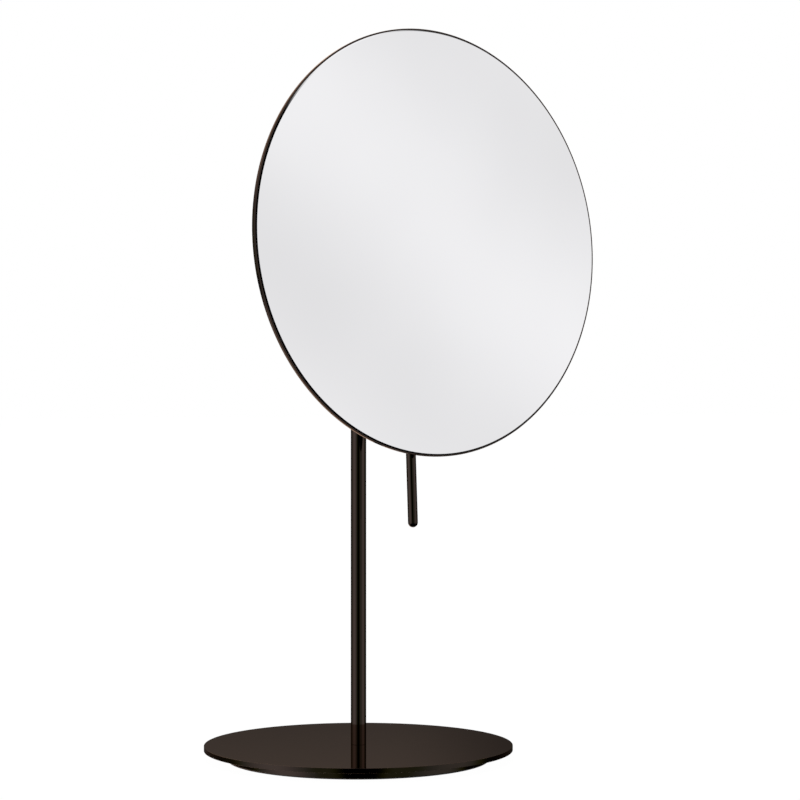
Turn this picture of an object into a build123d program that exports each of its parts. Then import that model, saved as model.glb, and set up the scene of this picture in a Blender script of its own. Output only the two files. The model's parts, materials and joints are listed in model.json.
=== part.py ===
from build123d import *

import math
import os

# Table-top shaving mirror: a round mirror in a thin pan, on a telescopic column with a round base.
# Millimetres, +Z up. The origin is the middle of the foot's underside, on the column's axis.
# The mirror faces -Y and leans back by REST_TILT. Everything shown is the lowest column setting.

# ---- driving dimensions: base ----
PAD_RADIUS = 67.8
PAD_THICKNESS = 0.5
FOOT_RADIUS = 68.3
FOOT_TOP = 4.9
PLATE_RADIUS = 80.0
PLATE_THICKNESS = 2.5
BASE_TOP = FOOT_TOP + PLATE_THICKNESS
EDGE_BREAK = 0.35
BASE_EDGE = 0.2

# ---- driving dimensions: column ----
POST_RADIUS = 4.0
POST_BORE = 3.25
POST_TOP = 245.0
ROD_RADIUS = 2.5
EXTENSION = 110.0

# ---- driving dimensions: head ----
ARM_HEIGHT = 263.3
ARM_REACH = 39.5
ARM_RADIUS = 4.0
HEAD_RADIUS = 7.5
HEAD_HEIGHT = 22.0
HEAD_LOW = ARM_HEIGHT - HEAD_HEIGHT / 2
HEAD_HIGH = ARM_HEIGHT + HEAD_HEIGHT / 2

# ---- driving dimensions: mirror ----
MIRROR_RADIUS = 106.7
PAN_DEPTH = 4.0
PAN_WALL = 0.75
PAN_EDGE_RADIUS = 3.0
GLASS_THICKNESS = 2.0
GLASS_GAP = 0.1
ARRIS_WIDTH = 0.5
ARRIS_DEPTH = 0.38
GLASS_PROUD = 0.5
LIP_OFFSET = 23.2
REST_TILT = 2.8
HANDLE_RADIUS = 2.5
HANDLE_REACH = 141.6

# ---- fits ----
RUNNING = 0.03
FACE_GAP = 0.05
STOP_GAP = 0.3
SAME_HEIGHT = 0.01

# ---- fasteners: shank radius, head radius, head height, key size across flats ----
M4_LOW_HEAD = (2.0, 3.5, 2.6, 2.5)
M3_WIDE_HEAD = (1.5, 4.5, 2.0, 2.0)
M2_5_SMALL_HEAD = (1.25, 2.2, 1.4, 1.5)
M3_FLAT_HEAD_RADIUS = 3.0
M3_SHANK_RADIUS = 1.5
M3_FLAT_HEAD_HEIGHT = 1.5


# ---- shapes used by several pieces, all about the Z axis ----
def disc(radius, low, high):
    """A solid cylinder from low to high."""
    return Pos(0, 0, (low + high) / 2) * Cylinder(radius, high - low)


def ring(outer, inner, low, high):
    """A cylinder with a round hole through it."""
    return disc(outer, low, high) - disc(inner, low, high)


def turned(outline):
    """A solid turned about the Z axis from a closed outline of (radius, height) points."""
    return revolve(Plane.XZ * make_face(Polyline(*outline, close=True)), Axis.Z)


def outer_edge(solid, height):
    """The largest circular edge at one height."""
    circles = solid.edges().filter_by(GeomType.CIRCLE)
    level = circles.filter_by_position(Axis.Z, height - SAME_HEIGHT, height + SAME_HEIGHT)
    return level.sort_by(SortBy.RADIUS)[-1]


def round_edge(solid, radius, height):
    """The outer circular edge at one height, rounded."""
    return fillet(outer_edge(solid, height), radius)


def bevel_edge(solid, length, height):
    """The outer circular edge at one height, chamfered."""
    return chamfer(outer_edge(solid, height), length)


def socket_screw(size, length):
    """A socket-head screw: its head stands above Z = 0 and its shank hangs below."""
    shank, head, head_height, key = size
    body = disc(shank, -length, 0) + disc(head, 0, head_height)
    body = bevel_edge(body, EDGE_BREAK, head_height)
    corner = key / 2 / math.cos(math.radians(30))
    socket_depth = head_height * 0.6
    socket = extrude(RegularPolygon(corner, 6), socket_depth)
    return body - Pos(0, 0, head_height - socket_depth) * socket


def flat_screw(length):
    """An M3 flat-head screw whose head is flush with Z = 0 and whose shank hangs below."""
    head = M3_FLAT_HEAD_RADIUS
    shank = M3_SHANK_RADIUS
    neck = -M3_FLAT_HEAD_HEIGHT
    body = turned([(0, 0), (head, 0), (shank, neck), (shank, -length), (0, -length)])
    slot_width = 0.8
    slot_depth = 0.6
    return body - Pos(0, 0, -slot_depth / 2) * Box(2 * head, slot_width, slot_depth)


def flat_screw_hole(length):
    """The space that a flat-head screw fills, without its driver slot."""
    head = M3_FLAT_HEAD_RADIUS
    shank = M3_SHANK_RADIUS
    neck = -M3_FLAT_HEAD_HEIGHT
    return turned([(0, 0), (head, 0), (shank, neck), (shank, -length), (0, -length)])


def three_around(piece, radius):
    """Three copies of a piece, evenly spaced on a circle about the Z axis."""
    return Compound([Rot(0, 0, turn) * Pos(radius, 0, 0) * piece for turn in (90, 210, 330)])


def along_y(piece):
    """A piece made along +Z, turned to lie along +Y."""
    return Rot(-90, 0, 0) * piece


def along_x(piece):
    """A piece made along +Z, turned to lie along +X."""
    return Rot(0, 90, 0) * piece


# ---- base ----
FOOT_SCREW_CIRCLE = 50.0
FOOT_SCREW_LENGTH = FOOT_TOP - PAD_THICKNESS + 1.8
SCREW_POCKET = 7.0
BASE_WASHER_THICKNESS = 0.8
BASE_SCREW_IN_POST = 12.0
POST_PLUG_LENGTH = 16.0


def foot_pad():
    return disc(PAD_RADIUS, 0, PAD_THICKNESS)


def foot_screw_holes():
    hole = Rot(180, 0, 0) * flat_screw_hole(FOOT_SCREW_LENGTH)
    return Pos(0, 0, PAD_THICKNESS) * three_around(hole, FOOT_SCREW_CIRCLE)


def foot_screws():
    one = Rot(180, 0, 0) * flat_screw(FOOT_SCREW_LENGTH)
    return Pos(0, 0, PAD_THICKNESS) * three_around(one, FOOT_SCREW_CIRCLE)


def foot_disc():
    body = disc(FOOT_RADIUS, PAD_THICKNESS, FOOT_TOP)
    body = round_edge(body, BASE_EDGE, PAD_THICKNESS)
    body -= disc(SCREW_POCKET, PAD_THICKNESS, FOOT_TOP)
    return body - foot_screw_holes()


def base_plate():
    body = disc(PLATE_RADIUS, FOOT_TOP, BASE_TOP)
    body = round_edge(body, BASE_EDGE, BASE_TOP)
    body = round_edge(body, BASE_EDGE, FOOT_TOP)
    body -= disc(M4_LOW_HEAD[0], FOOT_TOP, BASE_TOP)
    return body - foot_screw_holes()


def base_washer():
    return ring(4.5, M4_LOW_HEAD[0], FOOT_TOP - BASE_WASHER_THICKNESS, FOOT_TOP)


def base_screw():
    seat = FOOT_TOP - BASE_WASHER_THICKNESS
    length = BASE_TOP + BASE_SCREW_IN_POST - seat
    return Pos(0, 0, seat) * Rot(180, 0, 0) * socket_screw(M4_LOW_HEAD, length)


def post_plug():
    body = disc(POST_BORE, BASE_TOP, BASE_TOP + POST_PLUG_LENGTH)
    return body - disc(M4_LOW_HEAD[0], BASE_TOP, BASE_TOP + BASE_SCREW_IN_POST)


# ---- column ----
COLLET_LENGTH = 12.0
COLLET_LOW = POST_TOP - COLLET_LENGTH
COLLET_FLANGE = 1.8
COLLET_SLIT = 0.6
NUT_RADIUS = 5.75
NUT_LIP = 1.6
NUT_LOW = POST_TOP - 9.0
NUT_LIP_LOW = POST_TOP + COLLET_FLANGE + STOP_GAP
NUT_HIGH = NUT_LIP_LOW + NUT_LIP
NUT_FLUTES = 18
COLLAR_LOW = NUT_HIGH + STOP_GAP
COLLAR_RADIUS = 6.0
SWIVEL_WASHER_LOW = HEAD_LOW - FACE_GAP - 0.8
GLIDE_LENGTH = 12.0
GLIDE_HIGH = COLLET_LOW - EXTENSION - STOP_GAP
GLIDE_LOW = GLIDE_HIGH - GLIDE_LENGTH
ROD_LOW = GLIDE_LOW + GLIDE_LENGTH / 2


def post_tube():
    return ring(POST_RADIUS, POST_BORE, BASE_TOP, POST_TOP)


def guide_collet():
    top = POST_TOP + COLLET_FLANGE
    body = disc(POST_BORE, COLLET_LOW, POST_TOP) + disc(POST_RADIUS - 0.2, POST_TOP, top)
    body -= disc(ROD_RADIUS + RUNNING, COLLET_LOW, top)
    slit_length = COLLET_LENGTH * 0.6
    slit = Pos(0, 0, top - slit_length / 2) * Box(3 * POST_RADIUS, COLLET_SLIT, slit_length)
    return body - slit - Rot(0, 0, 90) * slit


def clamp_nut():
    thread = POST_RADIUS + FACE_GAP
    mouth = ROD_RADIUS + STOP_GAP
    body = turned([
        (thread, NUT_LOW), (NUT_RADIUS, NUT_LOW), (NUT_RADIUS, NUT_HIGH),
        (mouth, NUT_HIGH), (mouth, NUT_LIP_LOW), (thread, NUT_LIP_LOW),
    ])
    body = bevel_edge(body, 0.9, NUT_HIGH)
    body = bevel_edge(body, 0.4, NUT_LOW)
    flute = Pos(NUT_RADIUS + 0.25, 0, 0) * disc(0.55, NUT_LOW + 1.4, NUT_HIGH - 2.4)
    for step in range(NUT_FLUTES):
        body -= Rot(0, 0, step * 360 / NUT_FLUTES) * flute
    return body


def inner_rod():
    body = disc(ROD_RADIUS, ROD_LOW, SWIVEL_FLOOR - STOP_GAP)
    body -= disc(M3_WIDE_HEAD[0], SWIVEL_SCREW_LOW, SWIVEL_FLOOR)
    return body - disc(M2_5_SMALL_HEAD[0], ROD_LOW, GLIDE_SCREW_HIGH)


def rod_glide():
    body = disc(POST_BORE - RUNNING, GLIDE_LOW, GLIDE_HIGH)
    body -= disc(ROD_RADIUS, ROD_LOW, GLIDE_HIGH)
    body -= disc(M2_5_SMALL_HEAD[0], GLIDE_LOW, ROD_LOW)
    return body - disc(M2_5_SMALL_HEAD[1], GLIDE_LOW, GLIDE_SCREW_SEAT)


def glide_screw():
    length = GLIDE_SCREW_HIGH - GLIDE_SCREW_SEAT
    return Pos(0, 0, GLIDE_SCREW_SEAT) * Rot(180, 0, 0) * socket_screw(M2_5_SMALL_HEAD, length)


def swivel_collar():
    body = ring(COLLAR_RADIUS, ROD_RADIUS, COLLAR_LOW, SWIVEL_WASHER_LOW)
    return bevel_edge(body, EDGE_BREAK, COLLAR_LOW)


def swivel_washer():
    return ring(COLLAR_RADIUS, ROD_RADIUS, SWIVEL_WASHER_LOW, HEAD_LOW - FACE_GAP)


# ---- swivel head ----
SWIVEL_FLOOR = HEAD_HIGH - 6.0
SWIVEL_POCKET = 5.25
SWIVEL_BUSH_RADIUS = 3.5
SWIVEL_SPRING_THICKNESS = 0.7
SWIVEL_SCREW_SEAT = SWIVEL_FLOOR + FACE_GAP + SWIVEL_SPRING_THICKNESS
SWIVEL_SCREW_LOW = SWIVEL_FLOOR - 9.0
HEAD_CAP_THICKNESS = 1.6
GLIDE_SCREW_SEAT = GLIDE_LOW + 2.0
GLIDE_SCREW_HIGH = ROD_LOW + 7.0
ARM_SPIGOT = 2.5
ARM_SPIGOT_LENGTH = 3.0


def swivel_head():
    body = disc(HEAD_RADIUS, HEAD_LOW, HEAD_HIGH)
    body = round_edge(body, 1.0, HEAD_HIGH)
    body = round_edge(body, 1.0, HEAD_LOW)
    body -= disc(SWIVEL_BUSH_RADIUS, HEAD_LOW, SWIVEL_FLOOR)
    body -= disc(SWIVEL_POCKET, SWIVEL_FLOOR, HEAD_HIGH)
    return body - arm_spigot()


def swivel_bush():
    return ring(SWIVEL_BUSH_RADIUS, ROD_RADIUS + RUNNING, HEAD_LOW, SWIVEL_FLOOR)


def swivel_spring_washer():
    low = SWIVEL_FLOOR + FACE_GAP
    return ring(SWIVEL_POCKET - 0.5, M3_WIDE_HEAD[0], low, low + SWIVEL_SPRING_THICKNESS)


def swivel_screw():
    length = SWIVEL_SCREW_SEAT - SWIVEL_SCREW_LOW
    return Pos(0, 0, SWIVEL_SCREW_SEAT) * socket_screw(M3_WIDE_HEAD, length)


def head_cap():
    body = disc(SWIVEL_POCKET, HEAD_HIGH - HEAD_CAP_THICKNESS, HEAD_HIGH)
    return bevel_edge(body, 0.25, HEAD_HIGH)


# ---- arm and fork: lengths along the arm are measured from the tilt pivot towards the column ----
KNUCKLE_RADIUS = 8.5
KNUCKLE_HALF_WIDTH = 3.75
FORK_RADIUS = 9.0
FORK_TAIL_RADIUS = 5.5
FORK_LENGTH = 14.0
FORK_SLOT_LENGTH = 9.2
FORK_SLOT_HALF = 4.25
FORK_HALF_WIDTH = 7.75
FORK_BACK_Y = FORK_LENGTH - ARM_REACH
AXLE_RADIUS = 2.5
AXLE_THREAD = 2.0
TILT_SPRING_THICKNESS = 0.6
TILT_NUT_LENGTH = 4.0
PIVOT = Pos(0, -ARM_REACH, ARM_HEIGHT)


def arm_spigot():
    """The end of the arm that is pressed into the swivel head."""
    inner = -(HEAD_RADIUS - ARM_SPIGOT_LENGTH)
    outer = -(HEAD_RADIUS + 1)
    return Pos(0, 0, ARM_HEIGHT) * along_y(disc(ARM_SPIGOT, outer, inner))


def arm():
    axis = Pos(0, 0, ARM_HEIGHT)
    shaft = axis * along_y(disc(ARM_RADIUS, FORK_BACK_Y, -HEAD_RADIUS / 2))
    shaft -= disc(HEAD_RADIUS, HEAD_LOW, HEAD_HIGH)
    front = axis * along_y(disc(ARM_SPIGOT, FORK_BACK_Y - ARM_SPIGOT_LENGTH, FORK_BACK_Y))
    return shaft + arm_spigot() + front


def fork():
    side = Plane.YZ * make_hull(
        (Circle(FORK_RADIUS) + Pos(FORK_LENGTH, 0) * Circle(FORK_TAIL_RADIUS)).edges())
    body = extrude(side, FORK_HALF_WIDTH, both=True)
    size = 4 * FORK_RADIUS
    body -= Pos(0, FORK_LENGTH + size / 2, 0) * Box(size, size, size)
    body = fillet(body.edges().filter_by(Plane.YZ), 1.0)
    body -= Pos(0, FORK_SLOT_LENGTH - size / 2, 0) * Box(2 * FORK_SLOT_HALF, size, size)
    body -= along_x(disc(AXLE_RADIUS, -FORK_HALF_WIDTH, FORK_HALF_WIDTH))
    body -= along_y(disc(ARM_SPIGOT, FORK_LENGTH - ARM_SPIGOT_LENGTH, FORK_LENGTH))
    return PIVOT * body


def tilt_screw():
    size = (AXLE_RADIUS, 4.5, 2.0, 3.0)
    screw = socket_screw(size, 2 * FORK_HALF_WIDTH)
    thread_length = TILT_SPRING_THICKNESS + TILT_NUT_LENGTH - 1.5
    screw += disc(AXLE_THREAD, -2 * FORK_HALF_WIDTH - thread_length, -2 * FORK_HALF_WIDTH)
    return PIVOT * Pos(FORK_HALF_WIDTH, 0, 0) * along_x(screw)


def tilt_spring_washer():
    washer = ring(4.5, AXLE_THREAD, 0, TILT_SPRING_THICKNESS)
    return PIVOT * Pos(-FORK_HALF_WIDTH - TILT_SPRING_THICKNESS, 0, 0) * along_x(washer)


def tilt_nut():
    body = round_edge(disc(4.5, 0, TILT_NUT_LENGTH), 1.4, TILT_NUT_LENGTH)
    body -= disc(AXLE_THREAD, 0, TILT_NUT_LENGTH - 1.5)
    outside = -FORK_HALF_WIDTH - TILT_SPRING_THICKNESS
    return PIVOT * Pos(outside, 0, 0) * Rot(0, -90, 0) * body


def tilt_washers():
    low = KNUCKLE_HALF_WIDTH + FACE_GAP
    washer = along_x(ring(7.0, AXLE_RADIUS, low, FORK_SLOT_HALF))
    return PIVOT * Compound([washer, Rot(0, 0, 180) * washer])


# ---- mirror: made about the tilt pivot, with the face towards +Z and the top towards +Y ----
MIRROR_PLACE = PIVOT * Rot(90 - REST_TILT, 0, 0)
PAN_BACK = LIP_OFFSET - PAN_DEPTH
PAN_FLOOR = PAN_BACK + PAN_WALL
GLASS_FRONT = LIP_OFFSET + GLASS_PROUD
GLASS_BACK = GLASS_FRONT - GLASS_THICKNESS
GLASS_RADIUS = MIRROR_RADIUS - PAN_WALL - GLASS_GAP
FLANGE_RADIUS = 20.0
FLANGE_THICKNESS = 2.5
FLANGE_BACK = PAN_BACK - FLANGE_THICKNESS
FLANGE_SCREW_CIRCLE = 14.0
MOUNT_PLATE_THICKNESS = 0.8
FLANGE_SCREW_LENGTH = PAN_FLOOR + MOUNT_PLATE_THICKNESS - FLANGE_BACK
NECK_HALF_HEIGHT = 5.0
NECK_SPIGOT = 3.0
BOSS_LENGTH = 12.0
HANDLE_THREAD = 1.5
HANDLE_THREAD_LENGTH = 5.5


def knuckle():
    body = along_x(disc(KNUCKLE_RADIUS, -KNUCKLE_HALF_WIDTH, KNUCKLE_HALF_WIDTH))
    neck = Box(2 * KNUCKLE_HALF_WIDTH, 2 * NECK_HALF_HEIGHT, FLANGE_BACK)
    neck = fillet(neck.edges().filter_by(Axis.Z), 1.5)
    body += Pos(0, 0, FLANGE_BACK / 2) * neck
    boss = bevel_edge(disc(KNUCKLE_HALF_WIDTH, -BOSS_LENGTH, 0), 0.5, -BOSS_LENGTH)
    body += along_y(boss)
    body += disc(NECK_SPIGOT, FLANGE_BACK, PAN_BACK)
    body -= along_x(disc(AXLE_RADIUS + RUNNING, -KNUCKLE_HALF_WIDTH, KNUCKLE_HALF_WIDTH))
    body -= along_y(disc(HANDLE_THREAD, -BOSS_LENGTH, HANDLE_THREAD_LENGTH - BOSS_LENGTH))
    return MIRROR_PLACE * body


def flange_screw_holes():
    hole = Rot(180, 0, 0) * flat_screw_hole(FLANGE_SCREW_LENGTH)
    return Pos(0, 0, FLANGE_BACK) * three_around(hole, FLANGE_SCREW_CIRCLE)


def flange_screws():
    one = Rot(180, 0, 0) * flat_screw(FLANGE_SCREW_LENGTH)
    return MIRROR_PLACE * Pos(0, 0, FLANGE_BACK) * three_around(one, FLANGE_SCREW_CIRCLE)


def mount_flange():
    body = disc(FLANGE_RADIUS, FLANGE_BACK, PAN_BACK)
    body = bevel_edge(body, 0.8, FLANGE_BACK)
    body -= disc(NECK_SPIGOT, FLANGE_BACK, PAN_BACK)
    return MIRROR_PLACE * (body - flange_screw_holes())


def mount_plate():
    body = disc(FLANGE_RADIUS, PAN_FLOOR, PAN_FLOOR + MOUNT_PLATE_THICKNESS)
    return MIRROR_PLACE * (body - flange_screw_holes())


def back_pan():
    """A shallow dish: flat floor, rounded edge, short straight rim."""
    bend = MIRROR_RADIUS - PAN_EDGE_RADIUS
    rim = PAN_BACK + PAN_EDGE_RADIUS
    inner_radius = PAN_EDGE_RADIUS - PAN_WALL
    middle = math.sqrt(0.5)
    outside = ThreePointArc(
        (bend, PAN_BACK),
        (bend + PAN_EDGE_RADIUS * middle, rim - PAN_EDGE_RADIUS * middle),
        (MIRROR_RADIUS, rim))
    inside = ThreePointArc(
        (MIRROR_RADIUS - PAN_WALL, rim),
        (bend + inner_radius * middle, rim - inner_radius * middle),
        (bend, PAN_FLOOR))
    lip = Polyline(
        (MIRROR_RADIUS, rim), (MIRROR_RADIUS, LIP_OFFSET),
        (MIRROR_RADIUS - PAN_WALL, LIP_OFFSET), (MIRROR_RADIUS - PAN_WALL, rim))
    floor = Polyline((bend, PAN_FLOOR), (0, PAN_FLOOR), (0, PAN_BACK), (bend, PAN_BACK))
    outline = make_face([*outside.edges(), *lip.edges(), *inside.edges(), *floor.edges()])
    body = revolve(Plane.XZ * outline, Axis.Z)
    return MIRROR_PLACE * (body - flange_screw_holes())


def backing_pad():
    outer = MIRROR_RADIUS - 2 * PAN_EDGE_RADIUS
    return MIRROR_PLACE * ring(outer, FLANGE_RADIUS + 1, PAN_FLOOR, GLASS_BACK)


def mirror_glass():
    """A disc of glass with its edges ground back all round."""
    face = GLASS_RADIUS - ARRIS_WIDTH
    return MIRROR_PLACE * turned([
        (0, GLASS_BACK), (face, GLASS_BACK), (GLASS_RADIUS, GLASS_BACK + ARRIS_DEPTH),
        (GLASS_RADIUS, GLASS_FRONT - ARRIS_DEPTH), (face, GLASS_FRONT), (0, GLASS_FRONT),
    ])


def handle_rod():
    round_end = HANDLE_REACH - HANDLE_RADIUS
    body = disc(HANDLE_RADIUS, BOSS_LENGTH, round_end)
    body += Pos(0, 0, round_end) * Sphere(HANDLE_RADIUS)
    body += disc(HANDLE_THREAD, BOSS_LENGTH - HANDLE_THREAD_LENGTH, BOSS_LENGTH)
    return MIRROR_PLACE * Rot(90, 0, 0) * body


PIECES = [
    foot_pad, foot_disc, foot_screws, base_plate, base_washer, base_screw, post_plug,
    post_tube, guide_collet, clamp_nut, inner_rod, rod_glide, glide_screw,
    swivel_collar, swivel_washer, swivel_head, swivel_bush, swivel_spring_washer,
    swivel_screw, head_cap, arm, fork, tilt_screw, tilt_spring_washer, tilt_nut, tilt_washers,
    knuckle, mount_flange, flange_screws, mount_plate, back_pan, backing_pad, mirror_glass,
    handle_rod,
]

os.makedirs("parts", exist_ok=True)
for piece in PIECES:
    export_step(piece(), f"parts/{piece.__name__}.step")
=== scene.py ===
import json
import math

import bpy
from mathutils import Matrix, Vector


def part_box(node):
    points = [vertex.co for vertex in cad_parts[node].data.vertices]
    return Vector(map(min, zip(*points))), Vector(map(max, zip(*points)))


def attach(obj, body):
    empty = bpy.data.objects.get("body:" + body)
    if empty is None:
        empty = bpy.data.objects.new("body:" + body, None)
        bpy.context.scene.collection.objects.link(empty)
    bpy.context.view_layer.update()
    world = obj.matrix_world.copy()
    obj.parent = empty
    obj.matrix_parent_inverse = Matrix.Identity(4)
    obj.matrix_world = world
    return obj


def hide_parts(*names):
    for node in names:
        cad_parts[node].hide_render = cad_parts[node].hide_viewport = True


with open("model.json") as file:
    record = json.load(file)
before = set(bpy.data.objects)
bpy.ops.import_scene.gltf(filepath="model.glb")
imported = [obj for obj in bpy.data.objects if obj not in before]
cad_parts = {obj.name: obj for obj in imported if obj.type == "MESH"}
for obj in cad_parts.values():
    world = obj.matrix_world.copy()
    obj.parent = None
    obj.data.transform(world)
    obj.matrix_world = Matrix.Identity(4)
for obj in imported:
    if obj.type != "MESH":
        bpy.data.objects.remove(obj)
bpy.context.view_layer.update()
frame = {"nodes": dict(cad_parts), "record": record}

# ---- camera: a long lens, level, turned to the mirror's right-hand side ----
CAMERA_TURN = math.radians(-37.31)
CAMERA_BACK = 1.2070
CAMERA_SIDE = 0.0218
CAMERA_HEIGHT = 0.1857
CAMERA_LENS = 104.65
CAMERA_SHIFT = 0.000625

# ---- studio: two soft boxes either side of the camera, seen in the polished metal ----
# each box: degrees round from the camera where it starts, is full, begins to fade and ends
LEFT_BOX = (5, 62, 66, 128)
LEFT_STRENGTH = 1.12
RIGHT_BOX = (44, 66, 83, 117)
RIGHT_STRENGTH = 0.49
RIGHT_WIDE_BOX = (5, 36, 83, 117)
RIGHT_WIDE_STRENGTH = 0.415
# their lower ends, just above the floor, are narrower
LEFT_FOOT_BOX = (28, 62, 66, 105)
LEFT_FOOT_STRENGTH = 0.8
LEFT_FOOT_WIDE_BOX = (8, 22, 80, 112)
RIGHT_FOOT_BOX = (40, 72, 80, 112)
RIGHT_FOOT_STRENGTH = 0.33
RIGHT_FOOT_WIDE_BOX = (14, 28, 80, 112)
FOOT_WIDE_STRENGTH = 0.2
# heights are the upward part of a direction: 0 is level, 1 straight up, -1 straight down
ABOVE_FOOT = (-0.156, -0.138)
BOX_TOP_FADE = (0.45, 0.8)
BOX_LOW_FADE = (-0.6, -0.35)
# the right-hand box has soft slanting bands across it
BAND_CENTRE = 1.4793
BAND_WAVES = 36.3
BAND_DEPTH = 0.059
# dim light is olive near the horizon, and neutral well above and below it
DIM_GREEN = 1.2
DIM_GREEN_UNTIL = 0.8
DIM_BLUE = 0.1
DIM_BLUE_UNTIL = 0.38
NEUTRAL_FROM = (0.17, 0.26)
# the room: a weak glow from behind the object, half as strong on the right
ROOM_RISE = (0.115, 0.18)
ROOM_ROUND = (60, 150)
ROOM_DIM = 0.054
ROOM_GLOW = 0.13
ROOM_SPLIT = (-0.5, 3.5)
ROOM_RIGHT_SHARE = 0.5
# the soft light overhead reaches lower behind the object
TOP_RISE = (0.78, 0.95)
TOP_REAR_ROUND = (150, 168)
TOP_REAR_REACH = 0.5
TOP_STRENGTH = 1.0
# behind the mirror's back, light from low down and from high up
REAR_SPREAD = (25, 60)
REAR_LOW_FADE = (-0.36, -0.2)
REAR_LOW_STRENGTH = 1.0
REAR_HIGH_RISE = (0.17, 0.4)
REAR_HIGH_STRENGTH = 0.9
FLOOR_SIZE = 40.0
FLOOR_GLOW = 0.99
FLOOR_SHADE = 0.02


# ---- camera ----
def make_camera():
    turn = Matrix.Rotation(CAMERA_TURN, 4, "Z")
    place = Matrix.Translation((CAMERA_SIDE, -CAMERA_BACK, CAMERA_HEIGHT))
    level = Matrix.Rotation(math.radians(90), 4, "X")
    data = bpy.data.cameras.new("camera")
    data.lens = CAMERA_LENS
    data.sensor_width = 36.0
    data.shift_x = -CAMERA_SHIFT
    data.shift_y = CAMERA_SHIFT
    data.clip_start = 0.05
    camera = bpy.data.objects.new("camera", data)
    camera.matrix_world = turn @ place @ level
    bpy.context.scene.collection.objects.link(camera)
    bpy.context.scene.camera = camera


# ---- node helpers ----
class Nodes:
    """A short way to add shader nodes and link them."""

    def __init__(self, tree):
        self.tree = tree
        tree.nodes.clear()

    def add(self, kind, **settings):
        node = self.tree.nodes.new(kind)
        for name, value in settings.items():
            setattr(node, name, value)
        return node

    def link(self, source, target):
        self.tree.links.new(source, target)

    def feed(self, node, index, value):
        """A socket gets a number, or a link from another node's output."""
        if isinstance(value, bpy.types.NodeSocket):
            self.link(value, node.inputs[index])
        else:
            node.inputs[index].default_value = value

    def math(self, operation, first, second=0.0, clamp=False):
        node = self.add("ShaderNodeMath", operation=operation, use_clamp=clamp)
        self.feed(node, 0, first)
        self.feed(node, 1, second)
        return node.outputs[0]

    def ease(self, value, low, high, out_low=0.0, out_high=1.0):
        """Smoothly from out_low to out_high as value goes from low to high."""
        node = self.add("ShaderNodeMapRange", interpolation_type="SMOOTHSTEP")
        self.feed(node, 0, value)
        for index, number in enumerate((low, high, out_low, out_high), start=1):
            node.inputs[index].default_value = number
        return node.outputs[0]

    def noise(self, vector, scale, detail=2.0, roughness=0.5):
        node = self.add("ShaderNodeTexNoise")
        self.feed(node, "Vector", vector)
        node.inputs["Scale"].default_value = scale
        node.inputs["Detail"].default_value = detail
        node.inputs["Roughness"].default_value = roughness
        return node.outputs["Fac"]


# ---- studio light ----
def soft_box(nodes, angle, edges, strength):
    """A soft-edged bright span of directions, angle being degrees round from the camera."""
    start, full, fade, end = edges
    rise = nodes.ease(angle, start, full)
    fall = nodes.ease(angle, fade, end, strength, 0.0)
    return nodes.math("MULTIPLY", rise, fall)


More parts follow.
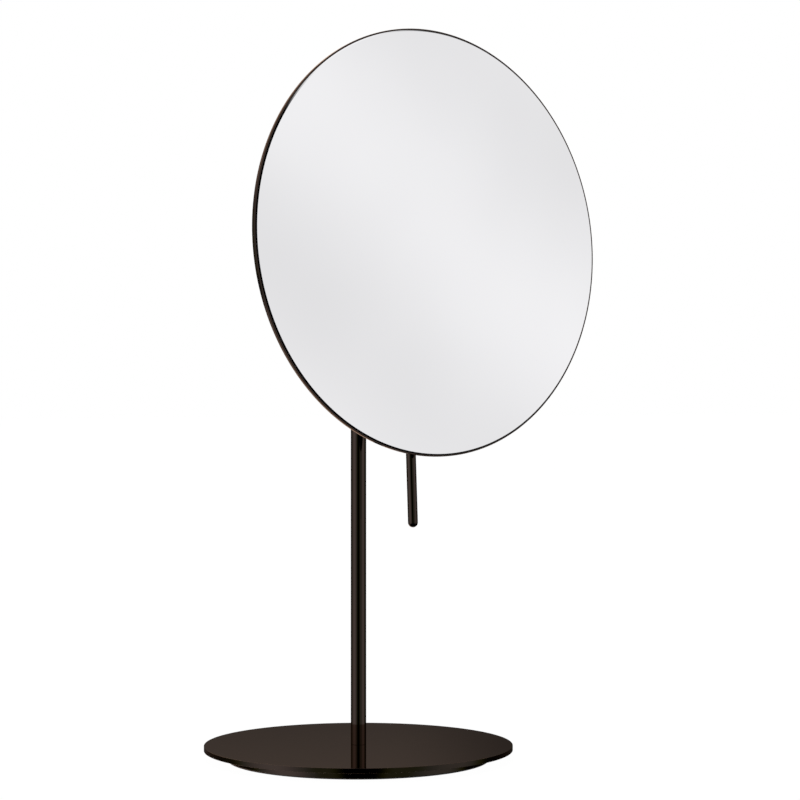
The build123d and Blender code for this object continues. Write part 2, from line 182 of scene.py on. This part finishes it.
def studio_color(nodes):
    """The studio's light from each direction: x is the camera's right, y away from it."""
    direction = nodes.add("ShaderNodeTexCoord").outputs["Generated"]
    turned = nodes.add("ShaderNodeVectorRotate", rotation_type="Z_AXIS")
    nodes.feed(turned, "Vector", direction)
    turned.inputs["Angle"].default_value = -CAMERA_TURN
    parts = nodes.add("ShaderNodeSeparateXYZ")
    nodes.link(turned.outputs[0], parts.inputs[0])
    x, y, z = parts.outputs
    around = nodes.math("ARCTAN2", x, nodes.math("MULTIPLY", y, -1.0))
    right = nodes.math("MULTIPLY", around, 180 / math.pi)
    left = nodes.math("MULTIPLY", right, -1.0)
    turned_away = nodes.math("ABSOLUTE", right)
    behind = nodes.math("MULTIPLY", nodes.math("ARCTAN2", x, y), 180 / math.pi)

    slant = nodes.math("SUBTRACT", nodes.math("ADD", around, z), BAND_CENTRE)
    wave = nodes.math("COSINE", nodes.math("MULTIPLY", slant, BAND_WAVES))
    bands = nodes.math("ADD", nodes.math("MULTIPLY", wave, BAND_DEPTH), 1.0)
    boxes = nodes.math("ADD", soft_box(nodes, right, RIGHT_BOX, RIGHT_STRENGTH),
                       soft_box(nodes, right, RIGHT_WIDE_BOX, RIGHT_WIDE_STRENGTH))
    boxes = nodes.math("MULTIPLY", boxes, bands)
    boxes = nodes.math("ADD", boxes, soft_box(nodes, left, LEFT_BOX, LEFT_STRENGTH))
    feet = nodes.math("ADD", soft_box(nodes, left, LEFT_FOOT_BOX, LEFT_FOOT_STRENGTH),
                      soft_box(nodes, left, LEFT_FOOT_WIDE_BOX, FOOT_WIDE_STRENGTH))
    feet = nodes.math("ADD", feet, soft_box(nodes, right, RIGHT_FOOT_BOX, RIGHT_FOOT_STRENGTH))
    feet = nodes.math("ADD", feet, soft_box(nodes, right, RIGHT_FOOT_WIDE_BOX, FOOT_WIDE_STRENGTH))
    sides = nodes.add("ShaderNodeMix", data_type="FLOAT")
    for index, value in ((0, nodes.ease(z, *ABOVE_FOOT)), (2, feet), (3, boxes)):
        nodes.feed(sides, index, value)
    sides = nodes.math("MULTIPLY", sides.outputs[0], nodes.ease(z, *BOX_TOP_FADE, 1.0, 0.0))
    sides = nodes.math("MULTIPLY", sides, nodes.ease(z, *BOX_LOW_FADE))

    room = nodes.ease(z, *ROOM_RISE, ROOM_DIM, ROOM_GLOW)
    room = nodes.math("MULTIPLY", room, nodes.ease(turned_away, *ROOM_ROUND))
    room = nodes.math("MULTIPLY", room, nodes.ease(behind, *ROOM_SPLIT, 1.0, ROOM_RIGHT_SHARE))
    rear_lift = nodes.ease(turned_away, *TOP_REAR_ROUND, 0.0, TOP_REAR_REACH)
    top = nodes.ease(nodes.math("ADD", z, rear_lift), *TOP_RISE, 0.0, TOP_STRENGTH)
    rear = nodes.math("ADD", nodes.ease(z, *REAR_LOW_FADE, REAR_LOW_STRENGTH, 0.0),
                      nodes.ease(z, *REAR_HIGH_RISE, 0.0, REAR_HIGH_STRENGTH))
    off_rear = nodes.math("ABSOLUTE", nodes.math("SUBTRACT", behind, math.degrees(CAMERA_TURN)))
    rear = nodes.math("MULTIPLY", rear, nodes.ease(off_rear, *REAR_SPREAD, 1.0, 0.0))
    plain = nodes.math("ADD", nodes.math("ADD", room, top), rear)

    off_level = nodes.math("ABSOLUTE", z)
    neutral = nodes.math("ADD", sides, nodes.ease(off_level, *NEUTRAL_FROM))
    green = nodes.math("MULTIPLY", sides, nodes.ease(neutral, 0.1, DIM_GREEN_UNTIL, DIM_GREEN, 1.0))
    blue = nodes.math("MULTIPLY", sides, nodes.ease(neutral, 0.0, DIM_BLUE_UNTIL, DIM_BLUE, 1.0))
    color = nodes.add("ShaderNodeCombineColor")
    for index, channel in enumerate((sides, green, blue)):
        nodes.feed(color, index, nodes.math("ADD", channel, plain))
    return color.outputs[0]


def make_world():
    world = bpy.data.worlds.new("studio")
    world.use_nodes = True
    bpy.context.scene.world = world
    nodes = Nodes(world.node_tree)
    seen = nodes.add("ShaderNodeBackground")
    seen.inputs["Color"].default_value = (1, 1, 1, 1)
    seen.inputs["Strength"].default_value = 1.0
    lit = nodes.add("ShaderNodeBackground")
    nodes.link(studio_color(nodes), lit.inputs["Color"])
    mix = nodes.add("ShaderNodeMixShader")
    nodes.link(nodes.add("ShaderNodeLightPath").outputs["Is Camera Ray"], mix.inputs[0])
    nodes.link(lit.outputs[0], mix.inputs[1])
    nodes.link(seen.outputs[0], mix.inputs[2])
    nodes.link(mix.outputs[0], nodes.add("ShaderNodeOutputWorld").inputs[0])


def make_floor():
    half = FLOOR_SIZE / 2
    corners = [(-half, -half, 0), (half, -half, 0), (half, half, 0), (-half, half, 0)]
    mesh = bpy.data.meshes.new("floor")
    mesh.from_pydata(corners, [], [(0, 1, 2, 3)])
    floor = bpy.data.objects.new("floor", mesh)
    bpy.context.scene.collection.objects.link(floor)
    material = bpy.data.materials.new("floor_paper")
    material.use_nodes = True
    shader = material.node_tree.nodes["Principled BSDF"]
    shader.inputs["Base Color"].default_value = (FLOOR_SHADE, FLOOR_SHADE, FLOOR_SHADE, 1)
    shader.inputs["Roughness"].default_value = 1.0
    shader.inputs["Specular IOR Level"].default_value = 0.0
    shader.inputs["Emission Color"].default_value = (1, 1, 1, 1)
    shader.inputs["Emission Strength"].default_value = FLOOR_GLOW
    mesh.materials.append(material)
    floor.visible_glossy = False


def make_lamp(name, location, size, power):
    """A soft lamp that lights the floor and shows in no reflection."""
    data = bpy.data.lights.new(name, "AREA")
    data.shape = "DISK"
    data.size = size
    data.energy = power
    lamp = bpy.data.objects.new(name, data)
    lamp.location = location
    lamp.rotation_euler = (-Vector(location)).to_track_quat("-Z", "Y").to_euler()
    lamp.visible_glossy = False
    bpy.context.scene.collection.objects.link(lamp)


# ---- materials ----
def new_material(name):
    material = bpy.data.materials.new(name)
    material.use_nodes = True
    nodes = Nodes(material.node_tree)
    shader = nodes.add("ShaderNodeBsdfPrincipled")
    nodes.link(shader.outputs[0], nodes.add("ShaderNodeOutputMaterial").inputs[0])
    place = nodes.add("ShaderNodeTexCoord").outputs["Object"]
    return material, nodes, shader, place


def touched(nodes, place, strength):
    """Extra roughness in a few patches, where hands have touched the surface."""
    patches = nodes.noise(place, 45.0, detail=6.0, roughness=0.65)
    marks = nodes.noise(place, 600.0, detail=2.0)
    return nodes.math("MULTIPLY", nodes.ease(patches, 0.56, 0.7, 0.0, strength), marks)


def metal(name, color, rough_low, rough_high, haze_scale, scratch_depth, edge_tint=(1, 1, 1)):
    """Polished or satin metal: slow changes of roughness and tone, touch marks, fine scratches."""
    material, nodes, shader, place = new_material(name)
    shader.inputs["Metallic"].default_value = 1.0
    shader.inputs["Specular Tint"].default_value = (*edge_tint, 1)
    haze = nodes.noise(place, haze_scale, detail=4.0)
    rough = nodes.ease(haze, 0.3, 0.7, rough_low, rough_high)
    rough = nodes.math("ADD", rough, touched(nodes, place, rough_high))
    nodes.link(rough, shader.inputs["Roughness"])
    tone = nodes.add("ShaderNodeMix", data_type="RGBA")
    nodes.link(nodes.noise(place, haze_scale * 0.4), tone.inputs[0])
    tone.inputs[6].default_value = (*[channel * 0.94 for channel in color], 1)
    tone.inputs[7].default_value = (*[channel * 1.06 for channel in color], 1)
    nodes.link(tone.outputs[2], shader.inputs["Base Color"])
    bump = nodes.add("ShaderNodeBump")
    bump.inputs["Strength"].default_value = scratch_depth
    bump.inputs["Distance"].default_value = 0.0001
    nodes.link(nodes.noise(place, 2500.0, detail=3.0), bump.inputs["Height"])
    nodes.link(bump.outputs[0], shader.inputs["Normal"])
    return material


def plastic(name, color, roughness):
    """Moulded plastic or rubber with a fine grain."""
    material, nodes, shader, place = new_material(name)
    grain = nodes.noise(place, 1800.0, detail=3.0)
    rough = nodes.ease(grain, 0.3, 0.7, roughness * 0.85, min(1.0, roughness * 1.15))
    nodes.link(rough, shader.inputs["Roughness"])
    tone = nodes.add("ShaderNodeMix", data_type="RGBA")
    nodes.link(nodes.noise(place, 300.0), tone.inputs[0])
    tone.inputs[6].default_value = (*[channel * 0.85 for channel in color], 1)
    tone.inputs[7].default_value = (*[min(1.0, channel * 1.15) for channel in color], 1)
    nodes.link(tone.outputs[2], shader.inputs["Base Color"])
    bump = nodes.add("ShaderNodeBump")
    bump.inputs["Strength"].default_value = 0.3
    bump.inputs["Distance"].default_value = 0.0001
    nodes.link(grain, bump.inputs["Height"])
    nodes.link(bump.outputs[0], shader.inputs["Normal"])
    return material


BRONZE_BLACK = (0.0490, 0.0358, 0.0308)
BRONZE_EDGE = (1.0, 0.76, 0.63)
MATERIALS = {
    "bronze_black": metal("bronze_black", BRONZE_BLACK, 0.02, 0.05, 35.0, 0.02, BRONZE_EDGE),
    "rod_steel": metal("rod_steel", BRONZE_BLACK, 0.02, 0.05, 35.0, 0.02, BRONZE_EDGE),
    "mirror_face": metal("mirror_face", (0.9, 0.896, 0.912), 0.0, 0.01, 20.0, 0.0),
    "bright_steel": metal("bright_steel", (0.55, 0.55, 0.56), 0.22, 0.34, 200.0, 0.3),
    "bronze_bush": metal("bronze_bush", (0.5, 0.34, 0.16), 0.25, 0.4, 200.0, 0.3),
    "black_plastic": plastic("black_plastic", (0.03, 0.03, 0.03), 0.5),
    "white_plastic": plastic("white_plastic", (0.75, 0.74, 0.70), 0.45),
    "foot_rubber": plastic("foot_rubber", (0.03, 0.03, 0.03), 0.8),
    "foam_tape": plastic("foam_tape", (0.1, 0.1, 0.1), 0.9),
}


# ---- turned pieces, made smoother than the CAD meshes: millimetres, about the Z axis ----
MM = 0.001
ROUND_STEPS = 8
WIDE_SEGMENTS = 288
NARROW_SEGMENTS = 72
PLATE_ROUND = 0.1
FOOT_ROUND = 0.2
SEAM_ROUND = 0.12
TUBE_WALL = 0.75
LIP_OFFSET = 23.2
PAN_DEPTH = 4.0
PAN_WALL = 0.75
PAN_ROUND = 3.0
LIP_ROUND = 0.28
GLASS_PROUD = 0.5
GLASS_THICKNESS = 2.0
ARRIS_WIDTH = 0.5
ARRIS_DEPTH = 0.38
REST_TILT = 2.8
HANDLE_START = 12.0
HEAD_ROUND = 1.0
HEAD_POCKET = 5.25


def outline_points(corners):
    """(radius, height, normal before, normal after) along an outline of (radius, height, round) corners.

    The outline runs with the solid on its left. It ends on the axis, or, round a tube, closes up.
    """
    count = len(corners)
    tube = corners[0][0] > 0
    points = []
    for index, (radius, height, rounding) in enumerate(corners):
        here = Vector((radius, height))
        before = here - Vector(corners[index - 1][:2])
        after = Vector(corners[(index + 1) % count][:2]) - here
        if not tube and index == 0:
            before = after
        if not tube and index == count - 1:
            after = before
        before.normalize()
        after.normalize()
        out_before = Vector((before.y, -before.x))
        out_after = Vector((after.y, -after.x))
        if rounding == 0:
            points.append((here, out_before, out_after))
            continue
        turn = math.atan2(before.cross(after), before.dot(after))
        side = math.copysign(rounding, turn)
        centre = here - before * rounding * math.tan(abs(turn) / 2) - out_before * side
        for step in range(ROUND_STEPS + 1):
            out = Matrix.Rotation(turn * step / ROUND_STEPS, 2) @ out_before
            points.append((centre + out * side, out, out))
    return points


def turned_mesh(name, corners, segments):
    """A mesh turned about Z, with exact surface normals at every face corner."""
    points = outline_points(corners)
    turns = [2 * math.pi * step / segments for step in range(segments)]
    vertices = []
    rings = []
    for place, _, _ in points:
        start = len(vertices)
        if place.x < 1e-6:
            rings.append([start] * segments)
            vertices.append((0, 0, place.y * MM))
            continue
        rings.append(list(range(start, start + segments)))
        for turn in turns:
            vertices.append((place.x * math.cos(turn) * MM, place.x * math.sin(turn) * MM, place.y * MM))
    spans = [(index, index + 1) for index in range(len(points) - 1)]
    if corners[0][0] > 0:
        spans.append((len(points) - 1, 0))
    faces = []
    normals = []
    for first, second in spans:
        for step in range(segments):
            ahead = (step + 1) % segments
            face = {}
            for ring, turn_step, out in (
                (first, step, points[first][2]), (first, ahead, points[first][2]),
                (second, ahead, points[second][1]), (second, step, points[second][1]),
            ):
                turn = turns[turn_step]
                normal = (out.x * math.cos(turn), out.x * math.sin(turn), out.y)
                face.setdefault(rings[ring][turn_step], normal)
            faces.append(list(face))
            normals.extend(face.values())
    mesh = bpy.data.meshes.new(name)
    mesh.from_pydata(vertices, [], faces)
    mesh.shade_smooth()
    mesh.normals_split_custom_set(normals)
    return mesh


def turned_piece(node, corners, segments, place=Matrix()):
    """A turned mesh that stands for one CAD node, with its body and its material slot."""
    row = next(row for row in frame["record"]["subparts"] if row["node"] == node)
    bodies = frame["record"]["behaviour"]["bodies"]
    body = next(name for name, nodes in bodies.items() if node in nodes)
    slot = row["material_slot"]
    mesh = turned_mesh(node + "_turned", corners, segments)
    mesh.materials.append(MATERIALS[slot])
    piece = bpy.data.objects.new(node + "_turned", mesh)
    piece.matrix_world = place
    bpy.context.scene.collection.objects.link(piece)
    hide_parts(node)
    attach(piece, body)


def upright_size(node):
    """An upright turned CAD node's radius, bottom and top, in millimetres."""
    low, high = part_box(node)
    return high.x / MM, low.z / MM, high.z / MM


def plain_disc(radius, low, high, low_round, high_round):
    return [(0, low, 0), (radius, low, low_round), (radius, high, high_round), (0, high, 0)]


def joint_place(name):
    joints = frame["record"]["behaviour"]["joints"]
    return Vector(next(joint["pos_m"] for joint in joints if joint["name"] == name))


def make_base():
    radius, low, high = upright_size("base_plate")
    turned_piece("base_plate", plain_disc(radius, low, high, PLATE_ROUND, PLATE_ROUND), WIDE_SEGMENTS)
    radius, low, high = upright_size("foot_disc")
    turned_piece("foot_disc", plain_disc(radius, low, high, FOOT_ROUND, 0), WIDE_SEGMENTS)


def make_post():
    radius, low, high = upright_size("post_tube")
    bore = radius - TUBE_WALL
    outline = [(bore, low, 0), (radius, low, SEAM_ROUND), (radius, high, SEAM_ROUND), (bore, high, 0)]
    turned_piece("post_tube", outline, NARROW_SEGMENTS)


def make_head():
    radius, low, high = upright_size("swivel_head")
    cap_low = upright_size("head_cap")[1]
    outline = [
        (0, low, 0), (radius, low, HEAD_ROUND), (radius, high, HEAD_ROUND), (HEAD_POCKET, high, 0),
        (HEAD_POCKET, cap_low, 0), (0, cap_low, 0),
    ]
    turned_piece("swivel_head", outline, NARROW_SEGMENTS)


def make_mirror():
    """The pan, the glass and the handle, made about the tilt pivot with the face towards +Z."""
    pivot = joint_place("mirror_tilt")
    lean = Matrix.Rotation(math.radians(90 - REST_TILT), 4, "X")
    place = Matrix.Translation(pivot) @ lean
    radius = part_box("back_pan")[1].x / MM
    back = LIP_OFFSET - PAN_DEPTH
    floor = back + PAN_WALL
    inner = radius - PAN_WALL
    pan = [
        (0, back, 0), (radius, back, PAN_ROUND), (radius, LIP_OFFSET, LIP_ROUND),
        (inner, LIP_OFFSET, LIP_ROUND),
        (inner, floor, PAN_ROUND - PAN_WALL), (0, floor, 0),
    ]
    turned_piece("back_pan", pan, WIDE_SEGMENTS, place)
    glass_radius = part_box("mirror_glass")[1].x / MM
    front = LIP_OFFSET + GLASS_PROUD
    rear = front - GLASS_THICKNESS
    face_radius = glass_radius - ARRIS_WIDTH
    glass = [
        (0, rear, 0), (face_radius, rear, 0), (glass_radius, rear + ARRIS_DEPTH, 0),
        (glass_radius, front - ARRIS_DEPTH, 0), (face_radius, front, 0), (0, front, 0),
    ]
    turned_piece("mirror_glass", glass, WIDE_SEGMENTS, place)
    handle_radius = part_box("handle_rod")[1].x / MM
    reach = (pivot.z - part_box("handle_rod")[0].z) / MM
    tip = (reach - handle_radius) / math.cos(math.radians(REST_TILT)) + handle_radius
    handle = [
        (0, HANDLE_START, 0), (handle_radius, HANDLE_START, 0),
        (handle_radius, tip, handle_radius * 0.999), (0, tip, 0),
    ]
    hang = Matrix.Rotation(math.radians(90), 4, "X")
    turned_piece("handle_rod", handle, NARROW_SEGMENTS, place @ hang)


def paint_cad_nodes():
    """Each CAD node takes the material of its slot in the record."""
    for row in frame["record"]["subparts"]:
        node = frame["nodes"][row["node"]]
        for slot in node.material_slots:
            slot.material = MATERIALS[row["material_slot"]]


make_camera()
make_world()
make_floor()
make_lamp("top_lamp", (-0.6, -0.6, 1.8), 1.6, 18.0)
paint_cad_nodes()
make_base()
make_post()
make_head()
make_mirror()
bpy.context.scene.view_settings.view_transform = "Standard"
